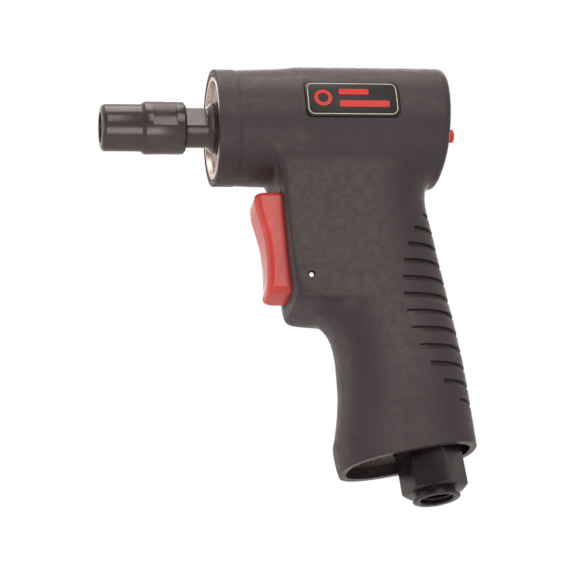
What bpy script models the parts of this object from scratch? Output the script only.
"""Pistol-grip air die grinder, modelled as its separate pieces.

The frame: X runs along the spindle, with the collet towards -X, Z is up, and y = 0 is the plane
between the two sides. The origin is the flat bottom of the spindle's bore, where a shank stops.
Sizes below are in millimetres. The pieces are drawn and cut at that size, where the exact Boolean
is at its most reliable, and settle_in_metres then applies the modifiers and scales every piece.
"""
import math

import bmesh
import bpy
from mathutils import Matrix, Vector

MM = 0.001
GAP = 0.3
SMALL_ROUND = 20
COIL_STEPS = 11
WIRE_SIDES = 5

# Motor tube of the housing
TUBE_R = 22.1
TUBE_FRONT_R = 21.0
TUBE_END_X = 83.6
REAR_EDGE_R = 2.6
REAR_LEAN = 0.07
BORE_R = 18.8
BORE_END_X = 77.6

# Grip
WALL = 2.4
RIM_POINT = (37.6, 0.0, -130.7)
RIM_TILT = math.radians(9.7)
GROOVE_TILT = math.radians(3.0)
GROOVE_TOP_Z = -37.6
GROOVE_BACK_X = 78.0
GROOVES = 12
GROOVE_PITCH = 6.5
GROOVE_HEIGHT = 2.1
GROOVE_DEPTH = 1.0

# Trigger, its pocket, its guide pin and the throttle valve behind it
TRIGGER_HALF_Y = 7.5
TRIGGER_TOP_Z = -28.0
TRIGGER_BOTTOM_Z = -66.5
TRIGGER_BACK_X = 33.0
TRIGGER_TRAVEL = 4.5
POCKET_BACK_X = 39.6
PIN_X = 28.9
PIN_Z = -63.1
PIN_R = 0.95
PIN_HOLE_R = 1.25
VALVE_Z = -47.0

# Air inlet: its axis leans back by INLET_TILT, and s counts up along it from the lip
INLET_END = Vector((68.8, 0.0, -140.7))
INLET_TILT = math.radians(4.7)
INLET_BORE_R = 5.75
HEX_FLATS = 20.0

# Nose
NUT_R = 9.6
NUT_NOSE_R = 8.575
NUT_FLATS = 17.0
NUT_TURN = math.radians(9.0)
SPINDLE_R = 7.15
SPINDLE_FLATS = 11.0
SPINDLE_TURN = math.radians(22.0)
COLLET_BORE_R = 3.05
SHANK_BORE_R = 3.2

# Motor
SLEEVE_R = 18.5
SLEEVE_IN_R = 16.85
PLATE_R = 16.5
MOTOR_BORE_R = 13.2
MOTOR_OFFSET = 1.2
ROTOR_R = 11.8
VANES = 5
DOWEL = (8.5, -11.6)

# Rear button
BUTTON_Z = -2.6
BUTTON_R = 2.5

# Label
LABEL_X = (30.5, 64.3)
LABEL_Z = (-5.7, 8.3)
LABEL_CORNER = 2.2


def clear_scene():
    for obj in list(bpy.data.objects):
        bpy.data.objects.remove(obj, do_unlink=True)


def material(name, colour, roughness, metallic=0.0):
    mat = bpy.data.materials.new(name)
    mat.use_nodes = True
    mat.diffuse_color = (*colour, 1.0)
    shader = mat.node_tree.nodes["Principled BSDF"]
    shader.inputs["Base Color"].default_value = (*colour, 1.0)
    shader.inputs["Roughness"].default_value = roughness
    shader.inputs["Metallic"].default_value = metallic
    return mat


def finish_mesh(name, bm, pivot=(0.0, 0.0, 0.0)):
    """Turn a bmesh into an object whose origin is the pivot."""
    bmesh.ops.remove_doubles(bm, verts=bm.verts, dist=1e-5)
    bmesh.ops.recalc_face_normals(bm, faces=bm.faces)
    bmesh.ops.translate(bm, vec=-Vector(pivot), verts=bm.verts)
    mesh = bpy.data.meshes.new(name)
    bm.to_mesh(mesh)
    bm.free()
    obj = bpy.data.objects.new(name, mesh)
    bpy.context.scene.collection.objects.link(obj)
    obj.location = pivot
    return obj


def turned(name, outline, steps=SMALL_ROUND, to_world=None, pivot=(0.0, 0.0, 0.0), phase=0.5):
    """An outline of (x, r) points turned about the X axis.

    An outline that starts and ends on the axis is closed there by a flat face. The phase, a share
    of one step, keeps the corners of a cutter away from those of the piece that it cuts.
    """
    solid_ends = outline[0][1] < 1e-6
    bm = bmesh.new()
    rings = []
    for x, r in outline:
        if r < 1e-6:
            continue
        ring = []
        for k in range(steps):
            angle = 2.0 * math.pi * (k + phase) / steps
            ring.append(bm.verts.new((x, r * math.cos(angle), r * math.sin(angle))))
        rings.append(ring)
    following = rings[1:] if solid_ends else rings[1:] + rings[:1]
    for a, b in zip(rings, following):
        for k in range(steps):
            j = (k + 1) % steps
            bm.faces.new((a[k], a[j], b[j], b[k]))
    if solid_ends:
        bm.faces.new(rings[0][::-1])
        bm.faces.new(rings[-1])
    if to_world is not None:
        bmesh.ops.transform(bm, matrix=to_world, verts=bm.verts)
    return finish_mesh(name, bm, pivot)


def prism(name, outline, low, high, to_world=None, pivot=(0.0, 0.0, 0.0)):
    """An outline of (x, z) points, extruded along Y from low to high."""
    bm = bmesh.new()
    front = [bm.verts.new((x, low, z)) for x, z in outline]
    back = [bm.verts.new((x, high, z)) for x, z in outline]
    bm.faces.new(front)
    bm.faces.new(back[::-1])
    count = len(outline)
    for k in range(count):
        j = (k + 1) % count
        bm.faces.new((front[k], front[j], back[j], back[k]))
    if to_world is not None:
        bmesh.ops.transform(bm, matrix=to_world, verts=bm.verts)
    return finish_mesh(name, bm, pivot)


def box(name, low, high, to_world=None):
    outline = [(low[0], low[2]), (high[0], low[2]), (high[0], high[2]), (low[0], high[2])]
    return prism(name, outline, low[1], high[1], to_world)


def rounded_rectangle(low_x, high_x, low_z, high_z, radius, steps=5):
    outline = []
    corners = [
        (high_x - radius, low_z + radius, -90.0),
        (high_x - radius, high_z - radius, 0.0),
        (low_x + radius, high_z - radius, 90.0),
        (low_x + radius, low_z + radius, 180.0),
    ]
    for cx, cz, start in corners:
        for k in range(steps + 1):
            angle = math.radians(start + 90.0 * k / steps)
            outline.append((cx + radius * math.cos(angle), cz + radius * math.sin(angle)))
    return outline


def arc(cx, cr, radius, start, end, steps=6):
    """Points (x, r) on an arc, with angles in degrees from +X towards +r."""
    points = []
    for k in range(steps + 1):
        angle = math.radians(start + (end - start) * k / steps)
        points.append((cx + radius * math.cos(angle), cr + radius * math.sin(angle)))
    return points


def boolean(obj, other, operation):
    other.hide_render = True
    other.display_type = "WIRE"
    modifier = obj.modifiers.new(operation.lower(), "BOOLEAN")
    modifier.operation = operation
    modifier.solver = "EXACT"
    modifier.object = other
    return obj


def cut(obj, *cutters):
    for cutter in cutters:
        boolean(obj, cutter, "DIFFERENCE")
    return obj


def paint(obj, mat):
    obj.data.materials.clear()
    obj.data.materials.append(mat)
    return obj


def rod(name, start, end, radius, steps=SMALL_ROUND, pivot=(0.0, 0.0, 0.0)):
    """A plain cylinder from one point to another."""
    start = Vector(start)
    direction = Vector(end) - start
    turn = Vector((1.0, 0.0, 0.0)).rotation_difference(direction).to_matrix().to_4x4()
    outline = [(0.0, 0.0), (0.0, radius), (direction.length, radius), (direction.length, 0.0)]
    return turned(name, outline, steps, Matrix.Translation(start) @ turn, pivot, 0.31)


def hole_set(name, places, radius, depth=6.0, sides=8):
    """Many round punches in one cutter, each along the Z axis of its own place."""
    bm = bmesh.new()
    for place in places:
        bmesh.ops.create_cone(
            bm, cap_ends=True, segments=sides, radius1=radius, radius2=radius, depth=depth, matrix=place)
    return finish_mesh(name, bm)


def inlet_frame():
    """Puts a shape turned about X onto the inlet's axis, with x as the distance s up from the lip."""
    up = Vector((-math.sin(INLET_TILT), 0.0, math.cos(INLET_TILT)))
    turn = Vector((1.0, 0.0, 0.0)).rotation_difference(up).to_matrix().to_4x4()
    return Matrix.Translation(INLET_END) @ turn


def coil(name, frame, low, high, radius, wire, turns, pivot=(0.0, 0.0, 0.0)):
    """A compression spring along X: a wire with WIRE_SIDES sides, swept along a helix."""
    bm = bmesh.new()
    steps = int(turns * COIL_STEPS)
    rings = []
    for k in range(steps + 1):
        angle = 2.0 * math.pi * turns * k / steps
        x = low + wire / 2.0 + (high - low - wire) * k / steps
        out = Vector((0.0, math.cos(angle), math.sin(angle)))
        ring = []
        for side in range(WIRE_SIDES):
            around = 2.0 * math.pi * side / WIRE_SIDES
            reach = radius + wire / 2.0 * math.cos(around)
            ring.append(bm.verts.new(Vector((x + wire / 2.0 * math.sin(around), 0, 0)) + out * reach))
        rings.append(ring)
    bm.faces.new(rings[0])
    bm.faces.new(rings[-1][::-1])
    for a, b in zip(rings, rings[1:]):
        for k in range(WIRE_SIDES):
            j = (k + 1) % WIRE_SIDES
            bm.faces.new((a[k], a[j], b[j], b[k]))
    bmesh.ops.transform(bm, matrix=frame, verts=bm.verts)
    return finish_mesh(name, bm, pivot)


def torus(name, frame, x, radius, wire, pivot=(0.0, 0.0, 0.0)):
    outline = arc(x, radius, wire, 0.0, 300.0, 5)
    return turned(name, outline, 24, frame, pivot)


# ---------------------------------------------------------------- housing

# Heights down the grip, each with its front x, back x, half width and how square its front is
GRIP_STATIONS = [
    (-6.0, 17.0, 78.0, 19.0, 8.0),
    (-12.0, 18.4, 80.4, 16.6, 16.0),
    (-18.0, 20.2, 80.4, 14.9, 16.0),
    (-21.5, 21.3, 78.9, 14.6, 16.0),
    (-24.0, 21.8, 76.7, 14.5, 16.0),
    (-27.0, 22.0, 75.3, 14.5, 16.0),
    (-31.0, 22.0, 74.9, 14.5, 16.0),
    (-44.0, 22.0, 76.4, 14.7, 16.0),
    (-56.0, 22.3, 77.8, 15.0, 16.0),
    (-65.0, 22.6, 79.0, 15.1, 14.0),
    (-69.4, 22.9, 79.5, 15.2, 10.0),
    (-71.0, 23.5, 79.7, 15.2, 7.0),
    (-71.9, 26.2, 79.8, 15.2, 3.8),
    (-72.5, 29.3, 79.9, 15.2, 3.2),
    (-73.4, 31.5, 80.0, 15.2, 2.9),
    (-75.2, 33.6, 80.3, 15.2, 2.7),
    (-78.0, 35.6, 80.6, 15.3, 2.6),
    (-82.0, 37.0, 81.1, 15.4, 2.5),
    (-86.0, 37.7, 81.5, 15.4, 2.5),
    (-90.0, 38.0, 82.0, 15.5, 2.5),
    (-100.0, 37.9, 82.8, 15.5, 2.5),
    (-108.0, 37.1, 83.3, 15.3, 2.5),
    (-113.0, 36.3, 83.6, 15.1, 2.5),
    (-118.0, 35.2, 83.9, 14.9, 2.5),
    (-121.0, 34.5, 84.1, 14.9, 2.5),
    (-127.0, 35.0, 84.2, 14.8, 2.5),
    (-137.0, 38.0, 84.2, 14.5, 2.5),
]
GRIP_SIDES = 36
INNER_SIDES = 20
BACK_ROUNDNESS = 2.5
WIDEST_AT = 0.52


def grip_section(front, back, half, squareness, sides):
    """Points round one height of the grip: squarer at the front, rounder at the back."""
    middle = front + WIDEST_AT * (back - front)
    points = []
    for k in range(sides):
        angle = 2.0 * math.pi * (k + 0.5) / sides
        c = math.cos(angle)
        s = math.sin(angle)
        power = BACK_ROUNDNESS if c > 0.0 else squareness
        reach = (back - middle) if c > 0.0 else (middle - front)
        x = middle + math.copysign(reach * abs(c) ** (2.0 / power), c)
        y = math.copysign(half * abs(s) ** (2.0 / power), s)
        points.append((x, y))
    return points


def grip_solid(name, inset=0.0, front_limit=None, top=0.0, sides=GRIP_SIDES):
    """The grip's outer shape, or the same shape brought in by an inset."""
    bm = bmesh.new()
    rings = []
    for z, front, back, half, squareness in GRIP_STATIONS:
        if z > top:
            continue
        near = front + inset
        if front_limit is not None and z > -84.0:
            near = max(near, front_limit)
        section = grip_section(near, back - inset, half - inset, squareness, sides)
        rings.append([bm.verts.new((x, y, z)) for x, y in section])
    for a, b in zip(rings, rings[1:]):
        for k in range(sides):
            j = (k + 1) % sides
            bm.faces.new((a[k], a[j], b[j], b[k]))
    bm.faces.new(rings[0])
    bm.faces.new(rings[-1][::-1])
    return finish_mesh(name, bm)


def rim_frame():
    """Turns a shape drawn level so that it lies along the grip's bottom rim."""
    return Matrix.Translation(Vector(RIM_POINT)) @ Matrix.Rotation(-RIM_TILT, 4, "Y")


def groove_left_end(k):
    """How far forward a groove reaches: the ends lie on a bow that is longest near the middle."""
    return 60.4 + 0.355 * abs(k - 5.0) ** 2.15


def groove_cutter():
    """Twelve slots through the back of the grip, less the grip's core, so that each is shallow."""
    bm = bmesh.new()
    half = GROOVE_HEIGHT / 2.0
    for k in range(GROOVES):
        left = groove_left_end(k)
        drop = math.tan(GROOVE_TILT) * (GROOVE_BACK_X - left)
        frame = Matrix.Translation((left, 0.0, GROOVE_TOP_Z - GROOVE_PITCH * k - drop))
        frame = frame @ Matrix.Rotation(-GROOVE_TILT, 4, "Y")
        outline = [(40.0, -half), (40.0, half)] + arc(half, 0.0, half, 90.0, 270.0, 4)
        near = [bm.verts.new(frame @ Vector((x, -30.0, z))) for x, z in outline]
        far = [bm.verts.new(frame @ Vector((x, 30.0, z))) for x, z in outline]
        bm.faces.new(near)
        bm.faces.new(far[::-1])
        count = len(outline)
        for i in range(count):
            j = (i + 1) % count
            bm.faces.new((near[i], near[j], far[j], far[i]))
    slots = finish_mesh("groove_slots", bm)
    return cut(slots, grip_solid("grip_core", GROOVE_DEPTH))


def label_blank(name, margin, inner, outer):
    outline = rounded_rectangle(
        LABEL_X[0] - margin, LABEL_X[1] + margin,
        LABEL_Z[0] - margin, LABEL_Z[1] + margin, LABEL_CORNER)
    blank = prism(name, outline, -30.0, -12.0)
    shell = [(20.0, inner), (20.0, outer), (75.0, outer), (75.0, inner)]
    return boolean(blank, turned(name + "_shell", shell, 72), "INTERSECT")


def make_housing(mat):
    outline = [(0.0, 0.0), (0.0, TUBE_FRONT_R - 0.5), (0.5, TUBE_FRONT_R), (7.2, TUBE_FRONT_R)]
    outline += [(8.0, 20.8), (14.0, 21.0), (22.0, 21.3), (27.0, 21.6), (29.2, 22.0), (32.0, TUBE_R)]
    outline += [(72.0, TUBE_R)]
    outline += arc(TUBE_END_X - REAR_EDGE_R, TUBE_R - 0.1 - REAR_EDGE_R, REAR_EDGE_R, 90.0, 0.0, 5)
    outline += [(TUBE_END_X, 0.0)]
    housing = turned("housing", outline, 56)
    for vert in housing.data.vertices:
        share = max(0.0, (vert.co.x - 72.0) / (TUBE_END_X - 72.0))
        tuck = max(0.0, -vert.co.z - 12.0) ** 2 / 110.0
        vert.co.x += (REAR_LEAN * vert.co.z - tuck) * share
    boolean(housing, grip_solid("grip_outside"), "UNION")
    below = box("below_rim", (-60.0, -40.0, -40.0), (90.0, 40.0, 0.0), rim_frame())
    chamber = grip_solid("exhaust_chamber", WALL, 41.0, -26.0, INNER_SIDES)
    pocket = box(
        "trigger_pocket",
        (0.0, -TRIGGER_HALF_Y - GAP, TRIGGER_BOTTOM_Z - 0.4),
        (POCKET_BACK_X, TRIGGER_HALF_Y + GAP, TRIGGER_TOP_Z + 0.4))
    cut(housing, below, chamber, pocket, groove_cutter())
    cut(housing, rod("motor_bore", (-5.0, 0.0, 0.0), (BORE_END_X, 0.0, 0.0), BORE_R, 48))
    cut(housing, box("motor_port", (43.0, -6.0, -29.0), (70.0, 6.0, -10.0)))
    cut(housing, rod("pin_hole", (PIN_X, -30.0, PIN_Z), (PIN_X, 30.0, PIN_Z), PIN_HOLE_R, 16))
    cut(housing, rod("stem_hole", (30.0, 0.0, VALVE_Z), (45.0, 0.0, VALVE_Z), 1.9, 16))
    cut(housing, rod("button_hole", (70.0, 0.0, BUTTON_Z), (95.0, 0.0, BUTTON_Z), BUTTON_R + GAP))
    cut(housing, label_blank("label_pocket", GAP, 21.55, 26.0))
    return paint(housing, mat)


def make_label(mat):
    return paint(label_blank("label_plate", 0.0, 21.9, 22.5), mat)


# ---------------------------------------------------------------- nose

def wrench_flats(name, low, high, across, reach, corner, angle):
    """Two rounded pockets that leave a pair of flats across a round piece."""
    outline = rounded_rectangle(low, high, -reach, reach, corner, 4)
    turn = Matrix.Rotation(-angle, 4, "X")
    near = prism(name + "_near", outline, -30.0, -across / 2.0, turn)
    far = prism(name + "_far", outline, across / 2.0, 30.0, turn)
    return near, far


def make_spindle(mat):
    outline = [(0.0, 0.0), (0.0, SHANK_BORE_R - 0.1), (-0.5, SHANK_BORE_R), (-13.0, SHANK_BORE_R)]
    outline += [(-16.0, 5.2), (-31.0, 5.2), (-31.5, 5.6), (-31.0, 6.3), (-11.7, 6.3)]
    outline += [(-11.4, SPINDLE_R), (-2.0, SPINDLE_R), (-0.3, 8.95), (6.2, 8.95), (6.4, 7.6)]
    outline += [(6.9, 7.6), (6.9, 6.0), (16.0, 6.0), (16.2, 5.2), (57.4, 5.2), (57.6, 4.0)]
    outline += [(67.6, 4.0), (68.0, 3.6), (68.0, 0.0)]
    spindle = turned("spindle", outline, 32)
    cut(spindle, *wrench_flats("spindle_flat", -12.6, -2.6, SPINDLE_FLATS, 6.5, 2.0, SPINDLE_TURN))
    return paint(spindle, mat)


def make_nut(mat):
    outline = [(-40.0, 5.5)] + arc(-38.0, NUT_NOSE_R - 2.0, 2.0, 180.0, 90.0, 4)
    outline += [(-25.8, NUT_NOSE_R), (-24.4, NUT_R), (-11.4, NUT_R), (-9.8, 8.5), (-9.8, 7.5)]
    outline += [(-11.9, 7.5), (-12.2, 6.65), (-33.0, 6.65), (-37.8, 5.5)]
    nut = turned("collet_nut", outline, 36)
    cut(nut, *wrench_flats("nut_flat", -22.0, -13.5, NUT_FLATS, 8.0, 3.0, NUT_TURN))
    return paint(nut, mat)


def make_collet(mat):
    outline = [(-13.4, COLLET_BORE_R), (-13.4, 3.3), (-16.2, 4.85), (-32.2, 4.85), (-32.2, 6.15)]
    outline += [(-33.2, 6.15), (-37.8, 5.1), (-38.9, 5.0), (-38.9, 3.4), (-38.5, COLLET_BORE_R)]
    collet = turned("collet", outline, 24)
    for k in range(3):
        turn = Matrix.Rotation(math.radians(120.0 * k + 30.0), 4, "X")
        cut(collet, box("collet_slot_%d" % k, (-45.0, -0.4, 1.0), (-17.5, 0.4, 12.0), turn))
    return paint(collet, mat)


def make_lock_ring(mat):
    outline = [(1.6, 9.3), (1.6, PLATE_R - 0.4), (2.0, PLATE_R), (6.4, PLATE_R), (6.4, 9.3)]
    ring = turned("front_lock_ring", outline, 40)
    for side in (-1.0, 1.0):
        y = side * 9.5
        z = -side * 9.6
        cut(ring, rod("spanner_hole_%d" % side, (-2.0, y, z), (5.0, y, z), 1.3, 16))
    cut(ring, box("lock_ring_notch", (0.0, -2.2, -18.0), (3.0, 2.2, -14.9)))
    return paint(ring, mat)


# ---------------------------------------------------------------- motor

def make_bearing(prefix, low, high, radii, steel, brass):
    """A ball bearing from its four radii, inner bore outwards, with balls held by a cage."""
    bore, inner, outer, rim = radii
    paint(turned(prefix + "_inner", [(low, bore), (low, inner), (high, inner), (high, bore)], 28), steel)
    paint(turned(prefix + "_outer", [(low, outer), (low, rim), (high, rim), (high, outer)], 32), steel)
    pitch = (inner + outer) / 2.0
    ball = (outer - inner) / 2.0 - 0.2
    middle = (low + high) / 2.0
    cage = [(middle - 0.7, pitch - 0.6), (middle - 0.7, pitch + 0.6)]
    cage += [(middle + 0.7, pitch + 0.6), (middle + 0.7, pitch - 0.6)]
    balls = turned(prefix + "_balls", cage, 21)
    bm = bmesh.new()
    for k in range(7):
        angle = 2.0 * math.pi * k / 7.0
        place = Matrix.Translation((middle, pitch * math.cos(angle), pitch * math.sin(angle)))
        bmesh.ops.create_icosphere(bm, subdivisions=2, radius=ball, matrix=place)
    boolean(balls, finish_mesh(prefix + "_ball_set", bm), "UNION")
    paint(balls, brass)


def dowel_hole(low, high):
    y, z = DOWEL
    return rod("dowel_hole_%d" % int(low), (low, y, z), (high, y, z), 1.3, 12)


def make_end_plates(mat):
    front = [(6.8, 14.3), (6.8, PLATE_R), (18.6, PLATE_R), (18.6, 6.5), (15.6, 6.5), (15.6, 14.3)]
    plate = turned("front_end_plate", front, 32)
    cut(plate, dowel_hole(17.1, 25.0))
    paint(plate, mat)
    rear = [(57.1, 5.6), (57.1, PLATE_R), (67.3, PLATE_R), (67.3, 11.3), (60.2, 11.3), (60.2, 5.6)]
    plate = turned("rear_end_plate", rear, 32)
    cut(plate, dowel_hole(50.0, 58.7))
    paint(plate, mat)


def make_cylinder(mat):
    outline = [(19.0, 0.0), (19.0, PLATE_R), (56.8, PLATE_R), (56.8, 0.0)]
    cylinder = turned("motor_cylinder", outline, 36)
    cut(cylinder, rod("off_centre_bore", (10.0, 0, MOTOR_OFFSET), (65.0, 0, MOTOR_OFFSET), MOTOR_BORE_R, 32))
    for k in range(3):
        x = 31.0 + 5.0 * k
        cut(cylinder, box("exhaust_slot_%d" % k, (x, -5.0, -20.0), (x + 2.0, 5.0, -9.0)))
    cut(cylinder, rod("feed_hole", (48.7, 0.0, -20.0), (48.7, 0.0, -9.0), 2.0, 16))
    cut(cylinder, dowel_hole(15.0, 60.0))
    return paint(cylinder, mat)


def make_sleeve(mat):
    outline = [(0.1, SLEEVE_IN_R + 0.3), (0.1, SLEEVE_R - 0.3), (0.4, SLEEVE_R)]
    outline += [(70.0, SLEEVE_R), (70.0, SLEEVE_IN_R), (0.4, SLEEVE_IN_R)]
    sleeve = turned("motor_sleeve", outline, 48)
    cut(sleeve, box("sleeve_exhaust", (30.0, -5.4, -25.0), (44.0, 5.4, -12.0)))
    cut(sleeve, rod("sleeve_feed_hole", (48.7, 0.0, -25.0), (48.7, 0.0, -12.0), 2.2, 16))
    return paint(sleeve, mat)


def make_rotor(rotor_mat, vane_mat):
    outline = [(19.4, 5.5), (19.4, ROTOR_R), (56.4, ROTOR_R), (56.4, 5.5)]
    rotor = turned("rotor", outline, 40)
    for k in range(VANES):
        turn = Matrix.Rotation(2.0 * math.pi * k / VANES, 4, "X")
        cut(rotor, box("vane_slot_%d" % k, (10.0, -1.0, 6.6), (65.0, 1.0, 20.0), turn))
        vane = box("vane_%d" % (k + 1), (19.5, -0.7, 6.9), (56.3, 0.7, 11.7), turn)
        paint(vane, vane_mat)
    paint(rotor, rotor_mat)


def make_wave_washer(mat):
    """A thin ring that rises and falls three times around."""
    bm = bmesh.new()
    steps = 36
    rings = []
    for k in range(steps):
        angle = 2.0 * math.pi * k / steps
        x = 68.1 + 0.2 * math.cos(3.0 * angle)
        ring = []
        for dx, r in ((-0.2, 12.5), (-0.2, 16.2), (0.2, 16.2), (0.2, 12.5)):
            ring.append(bm.verts.new((x + dx, r * math.cos(angle), r * math.sin(angle))))
        rings.append(ring)
    for a, b in zip(rings, rings[1:] + rings[:1]):
        for k in range(4):
            j = (k + 1) % 4
            bm.faces.new((a[k], a[j], b[j], b[k]))
    return paint(finish_mesh("wave_washer", bm), mat)


def make_rear_cap(mat):
    outline = [(68.9, 0.0), (68.9, PLATE_R), (70.4, PLATE_R), (70.4, SLEEVE_R), (73.0, SLEEVE_R)]
    cap = turned("rear_cap", outline + [(73.0, 0.0)], 32)
    cut(cap, rod("spring_seat", (70.0, 0.0, BUTTON_Z), (80.0, 0.0, BUTTON_Z), 3.1))
    cut(cap, rod("button_stem_hole", (60.0, 0.0, BUTTON_Z), (80.0, 0.0, BUTTON_Z), 1.5))
    return paint(cap, mat)


def make_button(mat, steel):
    frame = Matrix.Translation((0.0, 0.0, BUTTON_Z))
    pivot = (TUBE_END_X, 0.0, BUTTON_Z)
    outline = [(71.0, 0.0), (71.0, 1.2), (75.8, 1.2), (75.8, 3.9), (77.2, 3.9), (77.2, BUTTON_R)]
    outline += [(88.0, BUTTON_R), (88.5, BUTTON_R - 0.2), (88.8, BUTTON_R - 0.7), (88.8, 0.0)]
    paint(turned("rear_button", outline, 16, frame, pivot), mat)
    paint(coil("button_spring", frame, 70.3, 75.5, 2.1, 0.6, 4.0), steel)


# ---------------------------------------------------------------- trigger and valve

def make_trigger(mat):
    pivot = (20.0, 0.0, VALVE_Z)
    front = [(14.5, TRIGGER_BOTTOM_Z), (15.1, -60.0), (15.4, -53.0), (15.0, -46.0)]
    front += [(13.7, -39.0), (12.6, -33.0), (12.5, TRIGGER_TOP_Z)]
    outline = [(TRIGGER_BACK_X, TRIGGER_TOP_Z), (TRIGGER_BACK_X, TRIGGER_BOTTOM_Z)] + front
    trigger = prism("trigger", outline, -TRIGGER_HALF_Y, TRIGGER_HALF_Y, None, pivot)
    bevel = trigger.modifiers.new("rounded_edges", "BEVEL")
    bevel.width = 2.0
    bevel.segments = 3
    bevel.limit_method = "ANGLE"
    bevel.angle_limit = math.radians(50.0)
    slot = rounded_rectangle(
        PIN_X - TRIGGER_TRAVEL - 1.25, PIN_X + 1.25, PIN_Z - 1.25, PIN_Z + 1.25, 1.2, 4)
    cut(trigger, prism("trigger_slot", slot, -20.0, 20.0))
    cut(trigger, rod("stem_socket", (30.0, 0.0, VALVE_Z), (40.0, 0.0, VALVE_Z), 1.9, 16))
    return paint(trigger, mat)


def make_trigger_pin(mat):
    return paint(rod("trigger_pin", (PIN_X, -14.3, PIN_Z), (PIN_X, 14.3, PIN_Z), PIN_R, 16), mat)


def make_valve(alloy, steel, rubber, brass):
    frame = Matrix.Translation((0.0, 0.0, VALVE_Z))
    outline = [(41.4, 1.9), (41.4, 5.6), (42.0, 6.2), (67.4, 6.2), (67.4, 4.2), (51.0, 4.2)]
    body = turned("valve_body", outline + [(51.0, 2.8), (46.5, 2.8), (46.5, 1.9)], 20, frame)
    cut(body, rod("valve_outlet", (48.7, 0.0, VALVE_Z), (48.7, 0.0, -30.0), 2.0, 16))
    inlet = inlet_frame()
    cut(body, rod("valve_inlet", inlet @ Vector((80, 0, 0)), inlet @ Vector((93, 0, 0)), 3.4, 16))
    paint(body, alloy)
    pivot = (45.0, 0.0, VALVE_Z)
    stem = [(30.4, 0.0), (30.4, 1.5), (52.3, 1.5), (52.3, 3.6), (54.0, 3.6), (54.0, 1.2), (57.0, 1.2)]
    paint(turned("throttle_stem", stem + [(57.0, 0.0)], SMALL_ROUND, frame, pivot), steel)
    paint(torus("stem_seal", frame, 51.7, 2.9, 0.4, pivot), rubber)
    paint(coil("valve_spring", frame, 54.3, 64.2, 2.6, 0.8, 4.5), steel)
    plug = [(64.5, 0.0), (64.5, 3.9), (67.7, 3.9), (67.7, 5.4), (69.0, 5.4), (69.0, 0.0)]
    paint(turned("valve_plug", plug, SMALL_ROUND, frame), brass)


def make_air_path(alloy, rubber, steel):
    frame = inlet_frame()
    outline = [(21.2, 8.6), (21.2, 10.4), (35.0, 10.4), (36.5, 5.4), (86.8, 5.4), (86.8, 3.6)]
    outline += [(35.0, 3.6), (33.0, 5.0), (33.0, 8.6)]
    paint(turned("air_tube", outline, 24, frame), alloy)
    feed = [(-40.4, 1.9), (-40.4, 2.9), (-19.3, 2.9), (-19.3, 1.9)]
    upright = Matrix.Translation((48.7, 0.0, 0.0)) @ Matrix.Rotation(-math.pi / 2.0, 4, "Y")
    paint(turned("feed_tube", feed, SMALL_ROUND, upright), alloy)
    paint(torus("inlet_seal", frame, 20.2, 9.4, 0.65), rubber)
    screen = turned("inlet_screen", [(22.2, 0.0), (22.2, 5.4), (23.0, 5.4), (23.0, 0.0)], 24, frame)
    holes = []
    for ring, count in ((1.3, 3), (3.6, 10)):
        for k in range(count):
            angle = 2.0 * math.pi * k / count
            holes.append((22.6, ring * math.cos(angle), ring * math.sin(angle)))
    turn = Matrix.Rotation(math.pi / 2.0, 4, "Y")
    places = [frame @ Matrix.Translation(point) @ turn for point in holes]
    cut(screen, hole_set("screen_holes", places, 0.7, 6.0, 6))
    paint(screen, steel)


def make_inlet_bushing(mat):
    frame = inlet_frame()
    bush = turned("inlet_bushing", [
        (0.0, 0.0), (0.0, 8.0), (0.3, 8.3), (0.8, 8.3), (1.0, 6.95), (2.9, 6.95), (2.9, 8.2),
        (32.5, 8.3), (32.5, 0.0)], 36, frame)
    hexagon = [(2.7, 0.0), (2.7, 9.8), (3.8, 11.7), (19.2, 11.7), (19.2, 0.0)]
    nut = turned("hexagon_blank", hexagon, 36, frame)
    corner = HEX_FLATS / math.sqrt(3.0)
    sides = [(2.0, 0.0), (2.0, corner), (20.0, corner), (20.0, 0.0)]
    turn = Matrix.Rotation(math.radians(42.0), 4, "X")
    boolean(nut, turned("hexagon_sides", sides, 6, frame @ turn), "INTERSECT")
    boolean(bush, nut, "UNION")
    bore = [(-2.0, 0.0), (-2.0, INLET_BORE_R), (23.4, INLET_BORE_R), (23.4, 4.2), (40.0, 4.2)]
    cut(bush, turned("inlet_bore", bore + [(40.0, 0.0)], 28, frame))
    return paint(bush, mat)


def make_grille(mat):
    """The perforated plate across the front of the grip's open bottom, set in from the rim."""
    frame = rim_frame()
    grille = grip_solid("exhaust_grille", WALL + 0.4, None, -100.0, INNER_SIDES)
    slab = box("grille_slab", (-20.0, -30.0, 4.0), (23.5, 30.0, 5.2), frame)
    boolean(grille, slab, "INTERSECT")
    inlet = inlet_frame()
    cut(grille, rod("grille_clearance", inlet @ Vector((0, 0, 0)), inlet @ Vector((40, 0, 0)), 12.0, 40))
    places = []
    for row in range(7):
        for column in range(8):
            x = 3.8 + 2.5 * row
            y = 2.8 * (column - 3.5) + (0.7 if row % 2 else -0.7)
            if abs(y) > 3.2 + 1.35 * x ** 0.72 or abs(y) > 10.4:
                continue
            if (x - 28.6) ** 2 + y * y > 13.6 ** 2:
                places.append(frame @ Matrix.Translation((x, y, 4.6)))
    cut(grille, hole_set("grille_holes", places, 0.95, 6.0, 6))
    return paint(grille, mat)


def make_felt(mat):
    felt = grip_solid("muffler_felt", WALL + 0.7, None, -80.0, INNER_SIDES)
    boolean(felt, box("felt_block", (30.0, -30.0, -116.5), (56.5, 30.0, -103.0)), "INTERSECT")
    inlet = inlet_frame()
    cut(felt, rod("felt_clearance", inlet @ Vector((0, 0, 0)), inlet @ Vector((60, 0, 0)), 12.0, 40))
    return paint(felt, mat)


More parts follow.
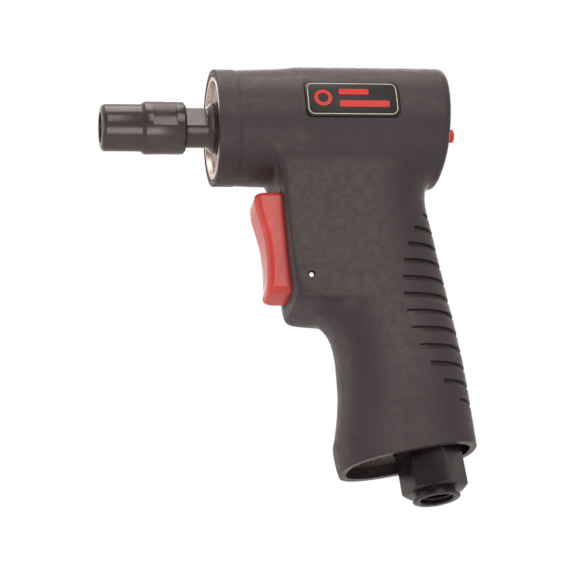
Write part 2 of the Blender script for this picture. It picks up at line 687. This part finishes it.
def settle_in_metres():
    """Apply every modifier, drop the cutters and bring the pieces from millimetres to metres."""
    depsgraph = bpy.context.evaluated_depsgraph_get()
    pieces = [obj for obj in bpy.data.objects if not obj.hide_render]
    settled = [bpy.data.meshes.new_from_object(obj.evaluated_get(depsgraph)) for obj in pieces]
    for obj, mesh in zip(pieces, settled):
        obj.modifiers.clear()
        mesh.transform(Matrix.Scale(MM, 4))
        mesh.shade_smooth()
        mesh.set_sharp_from_angle(angle=math.radians(35.0))
        mesh.name = obj.name
        obj.data = mesh
        obj.location = obj.location * MM
    for cutter in [obj for obj in bpy.data.objects if obj.hide_render]:
        bpy.data.objects.remove(cutter, do_unlink=True)


def main():
    clear_scene()
    composite = material("composite", (0.030, 0.028, 0.028), 0.5)
    red = material("red_plastic", (0.42, 0.012, 0.015), 0.25)
    bright_red = material("button_red", (0.6, 0.02, 0.03), 0.3)
    black_oxide = material("black_oxide", (0.012, 0.012, 0.014), 0.32, 0.9)
    bright_steel = material("bright_steel", (0.62, 0.61, 0.60), 0.25, 1.0)
    plate_steel = material("plate_steel", (0.42, 0.38, 0.36), 0.5, 0.8)
    cast = material("cast_alloy", (0.5, 0.5, 0.52), 0.45, 0.9)
    brass = material("brass", (0.62, 0.45, 0.2), 0.35, 1.0)
    rubber = material("rubber", (0.01, 0.01, 0.01), 0.7)
    fibre = material("vane_fibre", (0.3, 0.18, 0.09), 0.7)
    felt = material("felt", (0.35, 0.34, 0.31), 0.95)
    plate = material("label_black", (0.008, 0.008, 0.009), 0.3)
    make_housing(composite)
    make_label(plate)
    make_spindle(black_oxide)
    make_nut(black_oxide)
    make_collet(bright_steel)
    make_lock_ring(plate_steel)
    make_sleeve(bright_steel)
    make_end_plates(cast)
    make_bearing("front_bearing", 7.1, 15.3, (6.3, 8.0, 11.9, 14.0), bright_steel, brass)
    make_bearing("rear_bearing", 60.5, 67.0, (4.3, 5.9, 9.3, 11.0), bright_steel, brass)
    make_cylinder(cast)
    make_rotor(bright_steel, fibre)
    y, z = DOWEL
    paint(rod("locating_pin", (17.4, y, z), (58.4, y, z), 1.0, 12), bright_steel)
    make_wave_washer(bright_steel)
    make_rear_cap(cast)
    make_button(bright_red, bright_steel)
    make_trigger(red)
    make_trigger_pin(bright_steel)
    make_valve(cast, bright_steel, rubber, brass)
    make_air_path(cast, rubber, bright_steel)
    make_inlet_bushing(black_oxide)
    make_grille(composite)
    make_felt(felt)
    settle_in_metres()


main()
